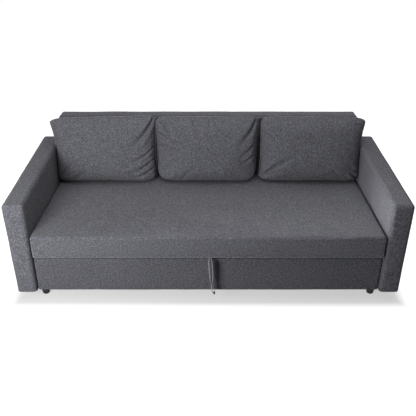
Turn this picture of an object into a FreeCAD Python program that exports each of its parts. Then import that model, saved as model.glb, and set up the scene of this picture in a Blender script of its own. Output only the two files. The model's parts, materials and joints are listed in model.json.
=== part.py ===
"""Three-seat sleeper sofa: fixed bench seat, loose back cushions and a padded bed section that
rolls out from under the seat.  Millimetres, +X right, +Y back, +Z up.  The origin is on the
floor, at the middle of the sofa's outline."""

import FreeCAD, Part
import math
import os

V = FreeCAD.Vector
X, Y, Z = V(1, 0, 0), V(0, 1, 0), V(0, 0, 1)

# Overall sizes
WIDTH = 2260.0
DEPTH = 1070.0
BACK_HEIGHT = 830.0
SEAT_HEIGHT = 440.0
CLEARANCE = 60.0

# Arms
ARM_THICKNESS = 123.0
ARM_TAPER = 8.0
ARM_FRONT = -505.0
ARM_LENGTH = 954.0
ARM_HEIGHT_FRONT = 628.0
ARM_HEIGHT_REAR = 686.0
ARM_EDGE = 20.0
ARM_PADDING = 15.0
CLOTH = 1.0

# Bench seat
SEAT_FRONT = -510.0
SEAT_HALF = 998.0
SEAT_BOTTOM = 302.0
SEAT_CROWN = 6.0
SEAT_EDGE = 14.0
SEAT_WALL = 13.0
TUBE_WIDTH = 40.0
TUBE_HEIGHT = 38.0
TUBE_WALL = 2.0

# Back
BACK_REAR = DEPTH / 2
BACK_FRAME_FRONT = 420.0
BACK_HALF = 1005.0
BACK_PADDING = 12.0
BACK_EDGE = 11.0
BACK_FACE_FOOT = 358.0
BACK_FACE_TOP = 392.0
BACK_SEAM_GAP = 2.0

# Back cushions
CUSHION_TOP = 862.0
CUSHION_THICKNESS = 150.0
CUSHION_SEAM = 0.24
CUSHION_DRAW = 0.05
CUSHION_STATIONS = 9
CUSHION_SPANS = {
    "back_cushion_left": (-1003.0, -338.0),
    "back_cushion_centre": (-330.0, 334.0),
    "back_cushion_right": (346.0, 1003.0),
}

# Fixed base frame
RAIL_INNER = 955.0
RAIL_FRONT = -452.0
RAIL_BOTTOM = 58.0
REAR_RAIL_THICKNESS = 22.0
FOOT_TOP_R = 29.0
FOOT_BOTTOM_R = 20.5

# Front panel of the pull-out
PANEL_HALF = 1003.0
PANEL_FRONT = -495.0
PANEL_REAR = -457.0
PANEL_BOTTOM = 63.0
PANEL_TOP = 288.0
PANEL_EDGE = 10.0
BOARD_THICKNESS = 18.0
BOARD_MARGIN = 7.0

# Pull-out underframe
TRAVEL = 500.0
TIMBER = 22.0
PULL_RAIL_OUTER = 927.0
PULL_RAIL_BOTTOM = 110.0
PULL_RAIL_TOP = 182.0
FRONT_RAIL_DEPTH = 110.0
FRONT_RAIL_HEIGHT = 22.0
MID_RAIL_Y = 60.0
PULL_REAR = 290.0
SLAT_COUNT = 14
SLAT_PITCH = 132.0
SLAT_WIDTH = 60.0
SLAT_THICKNESS = 12.0
HOLDER_WALL = 1.5
HOLDER_LENGTH = 26.0
PAD_TOP = 262.0
PAD_HALF = 900.0
PAD_EDGE = 12.0
PAD_CROWN = 4.0

# Running gear
CASTER_X = (-820.0, -280.0, 280.0, 820.0)
CASTER_NAMES = ("outer_left", "inner_left", "inner_right", "outer_right")
CASTER_Y = -376.0
CASTER_R = 30.0
CASTER_WIDTH = 20.0
CASTER_FLOOR_GAP = 1.0
AXLE_R = 4.0
RUNNING_GAP = 0.05
FORK_TOP = 82.0
FORK_WALL = 2.5
CASTER_STEM = 30.0
ROLLER_R = 16.5
ROLLER_Y = 262.0
ROLLER_Z = 146.0
ROLLER_INNER = 934.0
ROLLER_OUTER = 948.0
PIN_R = 5.0
RUNNER_HEIGHT = 39.0
RUNNER_WALL = 2.5
RUNNER_LIP = 930.0
RUNNER_FRONT = -290.0
RUNNER_REAR = 300.0
STOP_GAP = 3.5

# Pull strap
STRAP_WIDTH = 22.0
STRAP_THICKNESS = 2.0
STRAP_FRONT = -DEPTH / 2
STRAP_PIVOT_Y = -503.0
STRAP_PIVOT_Z = 292.0
STRAP_BOTTOM = 52.0

# Screws
STUD_IN_FOOT = 20.0
STUD_IN_RAIL = 24.0
SCREW_R = 2.5
SCREW_HEAD_R = 5.0
SCREW_HEAD = 2.5
BOLT_R = 4.0
BOLT_HEAD_R = 8.0
BOLT_HEAD = 5.0
HOLE_GAP = 0.1

HALF = WIDTH / 2
ARM_INNER = HALF - ARM_THICKNESS
ARM_REAR = ARM_FRONT + ARM_LENGTH
SEAT_REAR = BACK_FACE_FOOT - 3.0


def block(x0, x1, y0, y1, z0, z1):
    """A box between two corners."""
    return Part.makeBox(x1 - x0, y1 - y0, z1 - z0, V(x0, y0, z0))


def rod(radius, start, axis, length):
    """A round bar that begins at start and runs along axis."""
    return Part.makeCylinder(radius, length, start, axis)


def prism(points, along):
    """A closed outline of points, carried along a vector."""
    return Part.Face(Part.makePolygon(points + points[:1])).extrude(along)


def mirrored(shape):
    """The same shape on the other side of the sofa."""
    return shape.mirror(V(0, 0, 0), X)


def group(solids):
    """Separate solids kept in one node."""
    return Part.makeCompound(solids)


def edges_where(shape, test):
    """The edges whose two ends and middle all pass the test."""
    chosen = []
    for edge in shape.Edges:
        points = [v.Point for v in edge.Vertexes] + [edge.CenterOfMass]
        if all(test(p) for p in points):
            chosen.append(edge)
    return chosen


def arc(start, middle, end):
    return Part.Arc(start, middle, end).toShape()


def line(start, end):
    return Part.LineSegment(start, end).toShape()


def hexagon(radius, start, axis, length):
    """A hexagonal bar, such as a bolt's head, as wide across its corners as twice the radius."""
    across = Y if axis.dot(X) else X
    other = axis.cross(across)
    corners = [start + across * (radius * math.cos(k * math.pi / 3))
               + other * (radius * math.sin(k * math.pi / 3)) for k in range(6)]
    return prism(corners, axis * length)


def screw(point, axis, shank, radius=SCREW_R, head_r=SCREW_HEAD_R, head=SCREW_HEAD):
    """A hexagon screw whose head sits on the surface at point and whose shank runs along axis."""
    body = hexagon(head_r, point - axis * head, axis, head)
    return body.fuse(rod(radius, point, axis, shank)).removeSplitter()


def drilled(shape, points, axis, depth, radius=SCREW_R):
    """The shape with a clearance hole along axis at each point."""
    for point in points:
        start = point - axis
        shape = shape.cut(rod(radius + HOLE_GAP, start, axis, depth + 1 + HOLE_GAP))
    return shape


# Soft forms

def bench_section(x, inset, front, rear, bottom, top, crown, corner):
    """Outline of a bench pad in the plane x: flat below, crowned above, rounded at its corners."""
    y0, y1 = front + inset, rear - inset
    z0, z1 = bottom + inset, top - inset
    side = z1 - crown
    lean = corner * (1 - math.cos(math.pi / 4))
    half = (y0 + y1) / 2
    bulge = min(corner, 4.0) / 2
    low_front, high_front = V(x, y0, z0 + corner), V(x, y0, side - corner)
    low_rear, high_rear = V(x, y1, z0 + corner), V(x, y1, side - corner)
    return Part.Wire([
        line(V(x, y0 + corner, z0), V(x, y1 - corner, z0)),
        arc(V(x, y1 - corner, z0), V(x, y1 - lean, z0 + lean), low_rear),
        line(low_rear, high_rear),
        arc(high_rear, V(x, y1 - lean, side - lean), V(x, y1 - corner, side)),
        arc(V(x, y1 - corner, side), V(x, half, z1), V(x, y0 + corner, side)),
        arc(V(x, y0 + corner, side), V(x, y0 + lean, side - lean), high_front),
        arc(high_front, V(x, y0 - bulge, (z0 + side) / 2), low_front),
        arc(low_front, V(x, y0 + lean, z0 + lean), V(x, y0 + corner, z0)),
    ])


def bench_pad(half, front, rear, bottom, top, crown, corner):
    """A long pad whose top is crowned and whose ends are rounded like its corners."""
    stations = ((0.0, 0.55), (0.18, 0.2), (1.0, 0.0))
    ends = [(-half + at * corner, inset * corner) for at, inset in stations]
    places = ends + [(-x, inset) for x, inset in reversed(ends)]
    wires = []
    for x, inset in places:
        share = 1.0 if inset == 0 else 0.6
        wires.append(bench_section(x, inset, front, rear, bottom, top, crown * share, corner))
    return Part.makeLoft(wires, True, True)


def cushion_section(x, thickness, height, foot, lean):
    """Outline of a back cushion in the plane x: fuller low down, leaning back on its pad."""
    def at(out, up):
        along_y = BACK_FACE_FOOT - 4.0 - out * math.cos(lean) + up * math.sin(lean)
        return V(x, along_y, foot + up * math.cos(lean) + (out - thickness / 2) * math.sin(lean))

    turn = min(0.10 * height, 0.45 * thickness)
    low, high = turn, height - turn
    back_in = 0.12 * thickness
    front_low, front_high = 0.86 * thickness, 0.74 * thickness
    corners = [at(back_in, low), at(back_in, high), at(front_high, high), at(front_low, low)]
    middles = [at(0.0, 0.5 * height), at(0.42 * thickness, height),
               at(thickness, 0.40 * height), at(0.5 * thickness, 0.0)]
    wire = []
    for i, middle in enumerate(middles):
        wire.append(arc(corners[i], middle, corners[(i + 1) % 4]))
    return Part.Wire(wire)


def back_cushion(x0, x1):
    """A filled cushion: crowned in front, drawn in at both ends and towards its corners."""
    lean = math.atan2(BACK_FACE_TOP - BACK_FACE_FOOT, BACK_HEIGHT - SEAT_HEIGHT)
    full_height = (CUSHION_TOP - SEAT_HEIGHT - 1.0) / math.cos(lean)
    wires = []
    for i in range(CUSHION_STATIONS):
        share = math.cos(math.pi * (1 - i / (CUSHION_STATIONS - 1)))
        thick = CUSHION_SEAM + (1 - CUSHION_SEAM) * math.sqrt(1 - abs(share) ** 5)
        height = full_height * (1 - CUSHION_DRAW * abs(share) ** 6)
        foot = SEAT_HEIGHT + 1.0 + (full_height - height) / 2
        x = (x0 + x1) / 2 + share * (x1 - x0) / 2
        wires.append(cushion_section(x, CUSHION_THICKNESS * thick, height, foot, lean))
    return Part.makeLoft(wires, True, True)


# Arms

def arm_outline(x, inset, bottom):
    """The arm seen from the side, drawn in by inset, with its top sloping up to the rear."""
    slope = (ARM_HEIGHT_REAR - ARM_HEIGHT_FRONT) / ARM_LENGTH
    y0, y1 = ARM_FRONT + inset, ARM_REAR - inset
    high_front = ARM_HEIGHT_FRONT - inset + slope * inset
    high_rear = ARM_HEIGHT_REAR - inset - slope * inset
    return [V(x, y0, bottom), V(x, y1, bottom), V(x, y1, high_rear), V(x, y0, high_front)]


def arm_bolt_points(x):
    rows = ((-380.0, 100.0), (0.0, 260.0), (360.0, 100.0))
    return [V(x, y, z) for y, z in rows]


def arm_cover():
    """Right arm's padded cover: a shell, open below, whose outer face leans in to the floor."""
    side = prism(arm_outline(ARM_INNER, 0.0, CLEARANCE), X * ARM_THICKNESS)
    taper = [V(ARM_INNER, ARM_FRONT - 1, CLEARANCE), V(HALF - ARM_TAPER, ARM_FRONT - 1, CLEARANCE),
             V(HALF, ARM_FRONT - 1, ARM_HEIGHT_REAR), V(ARM_INNER, ARM_FRONT - 1, ARM_HEIGHT_REAR)]
    outer = side.common(prism(taper, Y * (ARM_LENGTH + 2)))
    rounded = edges_where(outer, lambda p: p.z > CLEARANCE + 1 or p.x > HALF - ARM_TAPER - 1)
    rounded = [e for e in rounded if e.CenterOfMass.z > CLEARANCE + 1]
    outer = outer.makeFillet(ARM_EDGE, rounded)
    pocket = prism(arm_outline(ARM_INNER + ARM_PADDING, ARM_PADDING, CLEARANCE),
                   X * (ARM_THICKNESS - 2 * ARM_PADDING - ARM_TAPER))
    points = arm_bolt_points(ARM_INNER)
    return drilled(outer.cut(pocket), points, X, ARM_PADDING, BOLT_R)


def arm_frame():
    """Timber frame inside the right arm: two posts, a middle post, top and bottom rails."""
    x0 = ARM_INNER + ARM_PADDING
    width = ARM_THICKNESS - 2 * ARM_PADDING - ARM_TAPER
    floor = CLEARANCE + CLOTH
    outer = prism(arm_outline(x0, ARM_PADDING, floor), X * width)
    post, rail = 45.0, 50.0
    low = floor + rail
    y0, y1 = ARM_FRONT + ARM_PADDING + post, ARM_REAR - ARM_PADDING - post
    upper = prism(arm_outline(x0 - 1, ARM_PADDING + post, low), X * (width + 2))
    middle = block(x0 - 1, x0 + width + 1, -post / 2, post / 2, low, ARM_HEIGHT_REAR)
    timber = outer.cut(upper.cut(middle))
    ledge = block(x0, x0 + width, y0, y1, 235.0, 285.0)
    timber = timber.fuse(ledge).removeSplitter()
    return drilled(timber, arm_bolt_points(x0), X, 40.0, BOLT_R)


def arm_cloth():
    x0 = ARM_INNER + ARM_PADDING
    width = ARM_THICKNESS - 2 * ARM_PADDING - ARM_TAPER
    return block(x0, x0 + width, ARM_FRONT + ARM_PADDING, ARM_REAR - ARM_PADDING,
                 CLEARANCE, CLEARANCE + CLOTH)


def arm_bolts():
    """Hexagon bolts that hold the arms on, put in from inside the side rails."""
    length = ARM_INNER - RAIL_INNER + ARM_PADDING + 38.0
    right = [screw(p, X, length, BOLT_R, BOLT_HEAD_R, BOLT_HEAD) for p in arm_bolt_points(RAIL_INNER)]
    return group(right + [mirrored(bolt) for bolt in right])


# Fixed base frame

def foot_places():
    side = (RAIL_INNER + ARM_INNER) / 2 - 2.0
    return {
        "foot_front_left": (-side, RAIL_FRONT + FOOT_TOP_R),
        "foot_front_right": (side, RAIL_FRONT + FOOT_TOP_R),
        "foot_rear_left": (-side, 385.0),
        "foot_rear_right": (side, 385.0),
        "foot_rear_centre": (0.0, 407.0),
    }


def foot_studs():
    """A threaded stud in each foot's top, screwed up into the rail."""
    return group([rod(BOLT_R, V(x, y, RAIL_BOTTOM - STUD_IN_FOOT), Z, STUD_IN_FOOT + STUD_IN_RAIL)
                  for x, y in foot_places().values()])


def foot(x, y):
    """A tapered plastic foot with a chamfered sole and a socket for its stud."""
    outline = [V(0, 0, 0), V(FOOT_BOTTOM_R - 2, 0, 0), V(FOOT_BOTTOM_R, 0, 3),
               V(FOOT_TOP_R, 0, RAIL_BOTTOM - 5), V(FOOT_TOP_R, 0, RAIL_BOTTOM), V(0, 0, RAIL_BOTTOM)]
    body = Part.Face(Part.makePolygon(outline + outline[:1])).revolve(V(0, 0, 0), Z, 360.0)
    socket = rod(BOLT_R + HOLE_GAP, V(0, 0, RAIL_BOTTOM - STUD_IN_FOOT - HOLE_GAP), Z, STUD_IN_FOOT + 1)
    return body.cut(socket).translated(V(x, y, 0))


def side_rail():
    """Right side rail: it stands on the feet and carries the arm, the seat and the runner."""
    rail = block(RAIL_INNER, ARM_INNER, RAIL_FRONT, BACK_FRAME_FRONT - 2.0, RAIL_BOTTOM, SEAT_BOTTOM)
    rail = drilled(rail, arm_bolt_points(RAIL_INNER), X, ARM_INNER - RAIL_INNER + 1, BOLT_R)
    feet = [V(x, y, RAIL_BOTTOM) for x, y in foot_places().values() if x > RAIL_INNER]
    rail = drilled(rail, feet, Z, STUD_IN_RAIL, BOLT_R)
    return drilled(rail, runner_screw_points(), X, 20.0)


def rear_rail():
    y1 = BACK_FRAME_FRONT - 2.0
    rail = block(-RAIL_INNER, RAIL_INNER, y1 - REAR_RAIL_THICKNESS, y1, RAIL_BOTTOM, SEAT_BOTTOM)
    feet = [V(x, y, RAIL_BOTTOM) for x, y in foot_places().values() if x == 0.0]
    return drilled(rail, feet, Z, STUD_IN_RAIL, BOLT_R)


def runner_screw_points():
    web = RAIL_INNER - RUNNER_WALL
    return [V(web, y, ROLLER_Z) for y in (-200.0, 200.0)]


def runner():
    """Right runner: a steel channel, open towards the pull-out's rollers."""
    z0, z1 = ROLLER_Z - RUNNER_HEIGHT / 2, ROLLER_Z + RUNNER_HEIGHT / 2
    channel = block(RUNNER_LIP, RAIL_INNER, RUNNER_FRONT, RUNNER_REAR, z0, z1)
    hollow = block(RUNNER_LIP - 1, RAIL_INNER - RUNNER_WALL, RUNNER_FRONT - 1, RUNNER_REAR + 1,
                   z0 + RUNNER_WALL, z1 - RUNNER_WALL)
    return drilled(channel.cut(hollow), runner_screw_points(), X, RUNNER_WALL)


def runner_screws():
    right = [screw(p, X, 20.0, head=1.5) for p in runner_screw_points()]
    return group(right + [mirrored(one) for one in right])


def runner_stops():
    """Rubber blocks that end the pull-out's travel, in both ends of each runner."""
    low = ROLLER_Z - RUNNER_HEIGHT / 2 + RUNNER_WALL
    high = ROLLER_Z + RUNNER_HEIGHT / 2 - RUNNER_WALL
    x0, x1 = RUNNER_LIP, RAIL_INNER - RUNNER_WALL
    front_end = ROLLER_Y - TRAVEL - ROLLER_R - STOP_GAP
    rear_end = ROLLER_Y + ROLLER_R + STOP_GAP
    right = [block(x0, x1, RUNNER_FRONT, front_end, low, high),
             block(x0, x1, rear_end, RUNNER_REAR, low, high)]
    return group(right + [mirrored(one) for one in right])


# Seat

def seat_pad():
    """Bench seat: crowned foam and cloth, pulled down over the steel seat frame."""
    pad = bench_pad(SEAT_HALF, SEAT_FRONT, SEAT_REAR, SEAT_BOTTOM, SEAT_HEIGHT, SEAT_CROWN, SEAT_EDGE)
    return pad.cut(block(*seat_pocket(), SEAT_BOTTOM - 1, SEAT_BOTTOM + CLOTH + TUBE_HEIGHT + TIMBER))


def seat_pocket():
    """The frame's outline in the pad: x0, x1, y0, y1."""
    x1 = SEAT_HALF - SEAT_EDGE - 1.0
    return -x1, x1, SEAT_FRONT + SEAT_WALL + 2.0, SEAT_REAR - SEAT_WALL


def tube(x0, x1, y0, y1, z0, along_x):
    """A rectangular steel tube, open at its two ends."""
    z1 = z0 + TUBE_HEIGHT
    wall = TUBE_WALL
    outer = block(x0, x1, y0, y1, z0, z1)
    if along_x:
        return outer.cut(block(x0 - 1, x1 + 1, y0 + wall, y1 - wall, z0 + wall, z1 - wall))
    return outer.cut(block(x0 + wall, x1 - wall, y0 - 1, y1 + 1, z0 + wall, z1 - wall))


def seat_frame():
    """Welded tubes: front and rear across the sofa, five joining them from front to back."""
    x0, x1, y0, y1 = seat_pocket()
    z0 = SEAT_BOTTOM + CLOTH
    members = [tube(x0, x1, y0, y0 + TUBE_WIDTH, z0, True), tube(x0, x1, y1 - TUBE_WIDTH, y1, z0, True)]
    spacing = (x1 - x0 - TUBE_WIDTH) / 4
    for i in range(5):
        left = x0 + i * spacing
        members.append(tube(left, left + TUBE_WIDTH, y0 + TUBE_WIDTH, y1 - TUBE_WIDTH, z0, False))
    return group(members)


def seat_slats():
    """Bowed bench slats laid across the tubes, under the foam."""
    x0, x1, y0, y1 = seat_pocket()
    z0 = SEAT_BOTTOM + CLOTH + TUBE_HEIGHT
    count, width = 8, 70.0
    pitch = (y1 - y0 - width) / (count - 1)
    return group([block(x0, x1, y0 + i * pitch, y0 + i * pitch + width, z0, z0 + SLAT_THICKNESS)
                  for i in range(count)])


def seat_cloth():
    x0, x1, y0, y1 = seat_pocket()
    return block(x0, x1, y0, y1, SEAT_BOTTOM, SEAT_BOTTOM + CLOTH)


# Back

def back_cover():
    """Padded shell of the back, open below, round the timber frame."""
    outer = block(-BACK_HALF, BACK_HALF, BACK_FRAME_FRONT, BACK_REAR, CLEARANCE, BACK_HEIGHT)
    outer = outer.makeFillet(BACK_EDGE, edges_where(outer, lambda p: p.z > BACK_HEIGHT - 1))
    return outer.cut(block(*back_pocket(), CLEARANCE - 1, BACK_HEIGHT - BACK_PADDING))


def back_pocket():
    """The frame's outline in the cover: x0, x1, y0, y1."""
    x1 = BACK_HALF - BACK_PADDING
    return -x1, x1, BACK_FRAME_FRONT + BACK_PADDING, BACK_REAR - BACK_PADDING


def back_frame():
    """Timber frame of the back: two rails and four uprights."""
    x0, x1, y0, y1 = back_pocket()
    z0, z1 = CLEARANCE + CLOTH, BACK_HEIGHT - BACK_PADDING
    rail, post = 60.0, 45.0
    members = [block(x0, x1, y0, y1, z0, z0 + rail), block(x0, x1, y0, y1, z1 - rail, z1)]
    spacing = (x1 - x0 - post) / 3
    for i in range(4):
        left = x0 + i * spacing
        members.append(block(left, left + post, y0, y1, z0 + rail, z1 - rail))
    return group(members)


def back_cloth():
    return block(*back_pocket(), CLEARANCE, CLEARANCE + CLOTH)


def back_front_pad():
    """Inside back: a foam wedge that gives the back its lean, with a rounded top."""
    rear = BACK_FRAME_FRONT - BACK_SEAM_GAP
    half = BACK_HALF - 2.0
    outline = [V(-half, BACK_FACE_FOOT, SEAT_BOTTOM), V(-half, rear, SEAT_BOTTOM),
               V(-half, rear, BACK_HEIGHT - 2.0), V(-half, BACK_FACE_TOP, BACK_HEIGHT - 2.0),
               V(-half, BACK_FACE_FOOT, SEAT_HEIGHT)]
    pad = prism(outline, X * (2 * half))
    return pad.makeFillet(8.0, edges_where(pad, lambda p: p.z > BACK_HEIGHT - 3.0))


# Pull-out

def panel_board():
    y0 = PANEL_REAR - 5.0 - BOARD_THICKNESS
    half = PANEL_HALF - BOARD_MARGIN
    return block(-half, half, y0, y0 + BOARD_THICKNESS,
                 PANEL_BOTTOM + BOARD_MARGIN, PANEL_TOP - BOARD_MARGIN)


def panel_cover():
    """Padded front panel with rounded edges, wrapped round its board."""
    outer = block(-PANEL_HALF, PANEL_HALF, PANEL_FRONT, PANEL_REAR, PANEL_BOTTOM, PANEL_TOP)
    outer = outer.makeFillet(PANEL_EDGE, edges_where(outer, lambda p: p.y < PANEL_FRONT + 1))
    cover = outer.cut(panel_board())
    return drilled(cover, strap_screw_points(), V(0, 0, -1), BOARD_MARGIN + 1)


def pull_side_rail():
    """Right side member of the pull-out, bored for its roller's pin."""
    rail = block(PULL_RAIL_OUTER - TIMBER, PULL_RAIL_OUTER, PANEL_REAR + FRONT_RAIL_DEPTH, PULL_REAR,
                 PULL_RAIL_BOTTOM, PULL_RAIL_TOP)
    rail = rail.cut(rod(PIN_R + RUNNING_GAP, V(PULL_RAIL_OUTER - 16.0, ROLLER_Y, ROLLER_Z), X, 17.0))
    points = [V(PULL_RAIL_OUTER - TIMBER, p.y, p.z) for p in bracket_screw_points()]
    return drilled(rail, points, X, 14.0)


def pull_front_rail():
    return block(-PULL_RAIL_OUTER, PULL_RAIL_OUTER, PANEL_REAR, PANEL_REAR + FRONT_RAIL_DEPTH,
                 PULL_RAIL_TOP - FRONT_RAIL_HEIGHT, PULL_RAIL_TOP)


def cross_rail(front):
    half = PULL_RAIL_OUTER - TIMBER
    return block(-half, half, front, front + TIMBER, PULL_RAIL_BOTTOM, PULL_RAIL_TOP)


def pull_centre_rail():
    low = PULL_RAIL_BOTTOM + 20.0
    return group([
        block(-TIMBER / 2, TIMBER / 2, PANEL_REAR + FRONT_RAIL_DEPTH, MID_RAIL_Y, low, PULL_RAIL_TOP),
        block(-TIMBER / 2, TIMBER / 2, MID_RAIL_Y + TIMBER, PULL_REAR - TIMBER, low, PULL_RAIL_TOP),
    ])


def slat_boxes():
    """The slats' outlines, as x0, x1, y0, y1, z0, z1."""
    z0 = PULL_RAIL_TOP + HOLDER_WALL
    y0, y1 = PANEL_REAR + 17.0, MID_RAIL_Y + 15.0
    first = -(SLAT_COUNT - 1) * SLAT_PITCH / 2 - SLAT_WIDTH / 2
    lefts = [first + i * SLAT_PITCH for i in range(SLAT_COUNT)]
    return [(x, x + SLAT_WIDTH, y0, y1, z0, z0 + SLAT_THICKNESS) for x in lefts]


def pull_slats():
    return group([block(*box) for box in slat_boxes()])


def slat_holders():
    """A plastic cap on each end of each slat, standing on the rail below."""
    wall = HOLDER_WALL
    caps = []
    for x0, x1, y0, y1, z0, z1 in slat_boxes():
        slat = block(x0, x1, y0, y1, z0, z1)
        for cap_y0, cap_y1 in ((y0 - wall, y0 + HOLDER_LENGTH), (y1 - HOLDER_LENGTH, y1 + wall)):
            cap = block(x0 - wall, x1 + wall, cap_y0, cap_y1, z0 - wall, z1 + wall)
            caps.append(cap.cut(slat))
    return group(caps)


def bed_pad():
    """Padded sleeping surface of the pull-out, lying on the slats."""
    bottom = PULL_RAIL_TOP + 2 * HOLDER_WALL + SLAT_THICKNESS
    front, rear = PANEL_REAR + 2.0, MID_RAIL_Y + TIMBER + 3.0
    return bench_pad(PAD_HALF, front, rear, bottom, PAD_TOP, PAD_CROWN, PAD_EDGE)


def bracket_corners():
    """The inner corners that the brackets stand in: y of the corner and the way it opens."""
    return ((PANEL_REAR + FRONT_RAIL_DEPTH, 1), (PULL_REAR - TIMBER, -1))


def bracket_screw_points():
    face = PULL_RAIL_OUTER - TIMBER - 3.0
    return [V(face, corner + way * 35.0, 162.0) for corner, way in bracket_corners()]


def corner_brackets():
    """Steel angles in the underframe's four corners."""
    face = PULL_RAIL_OUTER - TIMBER
    right = []
    for corner, way in bracket_corners():
        y0, y1 = sorted((corner, corner + way * 55.0))
        t0, t1 = sorted((corner, corner + way * 3.0))
        angle = block(face - 3.0, face, y0, y1, 148.0, 178.0)
        angle = angle.fuse(block(face - 55.0, face, t0, t1, 148.0, 178.0)).removeSplitter()
        right.append(drilled(angle, bracket_screw_points(), X, 3.0))
    return group(right + [mirrored(one) for one in right])


def bracket_screws():
    right = [screw(p, X, 16.0) for p in bracket_screw_points()]
    return group(right + [mirrored(one) for one in right])


# Running gear

def caster_blocks():
    """Timber blocks that bring the casters down from the front rail."""
    blocks = []
    for x in CASTER_X:
        body = block(x - 30, x + 30, CASTER_Y - 28, CASTER_Y + 28, FORK_TOP,
                     PULL_RAIL_TOP - FRONT_RAIL_HEIGHT)
        blocks.append(drilled(body, [V(x, CASTER_Y, FORK_TOP)], Z, CASTER_STEM, BOLT_R))
    return group(blocks)


def caster_fork(x):
    """A pressed steel fork: a top plate with its stem, and two legs that narrow to the axle."""
    axle_z = CASTER_R + CASTER_FLOOR_GAP
    fork = block(x - 29, x + 29, CASTER_Y - 20, CASTER_Y + 20, FORK_TOP - 2.0, FORK_TOP)
    inner = CASTER_WIDTH / 2 + 1.5
    outline = [V(0, CASTER_Y - 16, FORK_TOP - 2), V(0, CASTER_Y - 8, axle_z), V(0, CASTER_Y - 4, axle_z - 7),
               V(0, CASTER_Y + 4, axle_z - 7), V(0, CASTER_Y + 8, axle_z), V(0, CASTER_Y + 16, FORK_TOP - 2)]
    leg = prism(outline, X * FORK_WALL)
    for start in (x - inner - FORK_WALL, x + inner):
        fork = fork.fuse(leg.translated(V(start, 0, 0)))
    fork = fork.fuse(rod(BOLT_R, V(x, CASTER_Y, FORK_TOP), Z, CASTER_STEM))
    hole = rod(AXLE_R + HOLE_GAP, V(x - 20, CASTER_Y, axle_z), X, 40.0)
    return fork.cut(hole).removeSplitter()


def caster_axle(x):
    """A rivet through both legs of the fork, standing a little proud of them."""
    axle_z = CASTER_R + CASTER_FLOOR_GAP
    reach = CASTER_WIDTH / 2 + 2.5 + FORK_WALL
    return rod(AXLE_R, V(x - reach, CASTER_Y, axle_z), X, 2 * reach)


def caster_wheel(x):
    """A moulded wheel with a chamfered tread, bored to run on its axle."""
    half = CASTER_WIDTH / 2
    side = [V(-half, 0, AXLE_R + RUNNING_GAP), V(-half, 0, CASTER_R - 2.5), V(-half + 2.5, 0, CASTER_R)]
    outline = side + [V(-p.x, 0, p.z) for p in reversed(side)]
    wheel = Part.Face(Part.makePolygon(outline + outline[:1])).revolve(V(0, 0, 0), X, 360.0)
    return wheel.translated(V(x, CASTER_Y, CASTER_R + CASTER_FLOOR_GAP))


def roller():
    """Right rear roller, bored for its pin."""
    wheel = rod(ROLLER_R, V(ROLLER_INNER, ROLLER_Y, ROLLER_Z), X, ROLLER_OUTER - ROLLER_INNER)
    return wheel.cut(rod(PIN_R + RUNNING_GAP, V(ROLLER_INNER - 1, ROLLER_Y, ROLLER_Z), X, 20.0))


def roller_pins():
    """Headed pins fixed in the side members."""
    start = V(PULL_RAIL_OUTER - 15.0, ROLLER_Y, ROLLER_Z)
    shaft = rod(PIN_R, start, X, ROLLER_OUTER - PULL_RAIL_OUTER + 15.2)
    head = rod(PIN_R + 3.0, V(ROLLER_OUTER + 0.2, ROLLER_Y, ROLLER_Z), X, 2.0)
    pin = shaft.fuse(head).removeSplitter()
    return group([pin, mirrored(pin)])


# Pull strap

def strap_screw_points():
    return [V(x, -474.0, PANEL_TOP + 2.0 + STRAP_THICKNESS) for x in (-12.0, 23.0)]


def strap_tail():
    """The strap's fixed end, laid flat over the panel's top edge, bored by its plate's screws."""
    tail = block(-5.0, 16.0, STRAP_PIVOT_Y + 4.0, -466.0, PANEL_TOP, PANEL_TOP + STRAP_THICKNESS)
    return tail


def strap_plate():
    """Steel plate that clamps the strap's tail on the board, stepped down on both sides."""
    low, high = PANEL_TOP, PANEL_TOP + STRAP_THICKNESS
    plate = block(-19.0, 30.0, -482.0, -466.0, low, high + 2.0)
    plate = plate.cut(block(-5.0, 16.0, -483.0, -465.0, low - 1, high))
    points = [V(p.x, p.y, high + 2.0) for p in strap_screw_points()]
    return drilled(plate, points, V(0, 0, -1), 4.0)


def strap_screws():
    return group([screw(p, V(0, 0, -1), 5.0 + STRAP_THICKNESS) for p in strap_screw_points()])


def strap_edge(points):
    """One strand's centre line as straight runs, thickened to the webbing's thickness."""
    runs = []
    for (xa, za), (xb, zb) in zip(points, points[1:]):
        length = math.hypot(xb - xa, zb - za)
        start, end = V(xa, STRAP_FRONT, za), V(xb, STRAP_FRONT, zb)
        side = V(zb - za, 0, xa - xb) * (STRAP_THICKNESS / 2 / length)
        runs.append(prism([start - side, end - side, end + side, start + side], Y * STRAP_WIDTH))
        runs.append(rod(STRAP_THICKNESS / 2, end, Y, STRAP_WIDTH))
    return runs


def pull_strap():
    """Webbing loop, seen edge-on from the front: two strands that meet low down and curl away."""
    tip = (26.0, STRAP_BOTTOM + 6)
    left = ((-3.0, 286.0), (-2.0, 210.0), (1.0, 160.0), (9.0, 115.0), tip)
    right = ((14.0, 286.0), (14.0, 190.0), (11.0, 140.0), (12.0, 105.0), (18.0, 75.0), tip)
    bar = rod(2.0, V(-5.0, STRAP_PIVOT_Y, STRAP_PIVOT_Z), X, 21.0)
    fold = [V(-4.0, STRAP_PIVOT_Y, STRAP_PIVOT_Z - 1.0), V(-4.0, STRAP_PIVOT_Y, STRAP_PIVOT_Z + 1.0),
            V(-4.0, STRAP_FRONT + 8.0, 288.0), V(-4.0, STRAP_FRONT, 286.0), V(-4.0, STRAP_FRONT, 284.0),
            V(-4.0, STRAP_FRONT + STRAP_WIDTH, 284.0)]
    shape = bar.fuse(prism(fold, X * 19.0))
    for run in strap_edge(left) + strap_edge(right):
        shape = shape.fuse(run)
    return shape.removeSplitter()


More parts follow.
